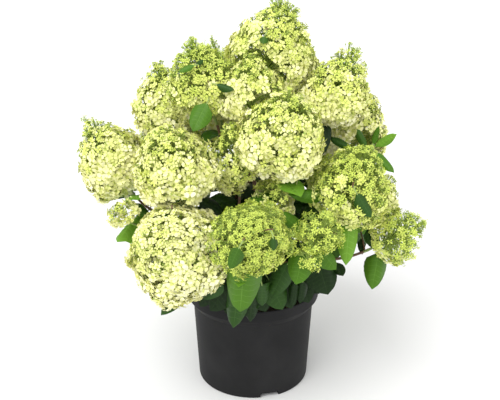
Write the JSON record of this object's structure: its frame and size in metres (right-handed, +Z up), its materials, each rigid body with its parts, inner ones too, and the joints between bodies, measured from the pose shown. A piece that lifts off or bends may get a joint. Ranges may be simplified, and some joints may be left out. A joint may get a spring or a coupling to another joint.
{
  "type": "potted hydrangea shrub",
  "caption": "Potted hydrangea shrub with cone-shaped lime and cream flower heads, green leaves and brown canes, in a round black nursery pot.",
  "frame": {"origin": "centre of the pot's flat underside", "axes": "+Z up along the pot's axis, the plant's front towards -Y, +X to the plant's right as seen in the picture"},
  "size_m": [0.5742, 0.5819, 0.6543],
  "materials": {
    "pot_plastic": "satin black moulded plastic",
    "compost": "moist bark and peat compost",
    "bark": "brown bark",
    "leaf": "satin green leaf",
    "bloom": "lime and cream florets over green leaves"
  },
  "bodies": {
    "root": {"branch_far_high_1": "bark", "branch_far_high_2": "bark", "branch_far_low_1": "bark", "branch_far_low_2": "bark", "branch_far_low_3": "bark", "branch_far_right": "bark", "branch_front_leaves": "bark", "branch_front_right": "bark", "branch_inner": "bark", "branch_left_middle": "bark", "branch_left_upper": "bark", "branch_right_back": "bark", "branch_right_leaves": "bark", "branch_right_sprig": "bark", "branch_upper_middle": "bark", "cane_centre": "bark", "cane_far_left": "bark", "cane_far_middle_1": "bark", "cane_far_middle_2": "bark", "cane_far_middle_3": "bark", "cane_far_middle_4": "bark", "cane_front": "bark", "cane_front_left": "bark", "cane_left_high": "bark", "cane_right_high": "bark", "cane_right_middle": "bark", "cane_top": "bark", "compost": "compost", "pot": "pot_plastic", "shoot_centre": "bloom", "shoot_far_high_1": "bloom", "shoot_far_high_2": "bloom", "shoot_far_left": "bloom", "shoot_far_low_1": "bloom", "shoot_far_low_2": "bloom", "shoot_far_low_3": "bloom", "shoot_far_middle_1": "bloom", "shoot_far_middle_2": "bloom", "shoot_far_middle_3": "bloom", "shoot_far_middle_4": "bloom", "shoot_far_right": "bloom", "shoot_front": "bloom", "shoot_front_leaves": "leaf", "shoot_front_left": "bloom", "shoot_front_right": "bloom", "shoot_inner": "bloom", "shoot_left_high": "bloom", "shoot_left_middle": "bloom", "shoot_left_upper": "bloom", "shoot_right_back": "bloom", "shoot_right_high": "bloom", "shoot_right_leaves": "leaf", "shoot_right_middle": "bloom", "shoot_right_sprig": "leaf", "shoot_top": "bloom", "shoot_upper_middle": "bloom", "stool": "bark"}
  },
  "joints": []
}
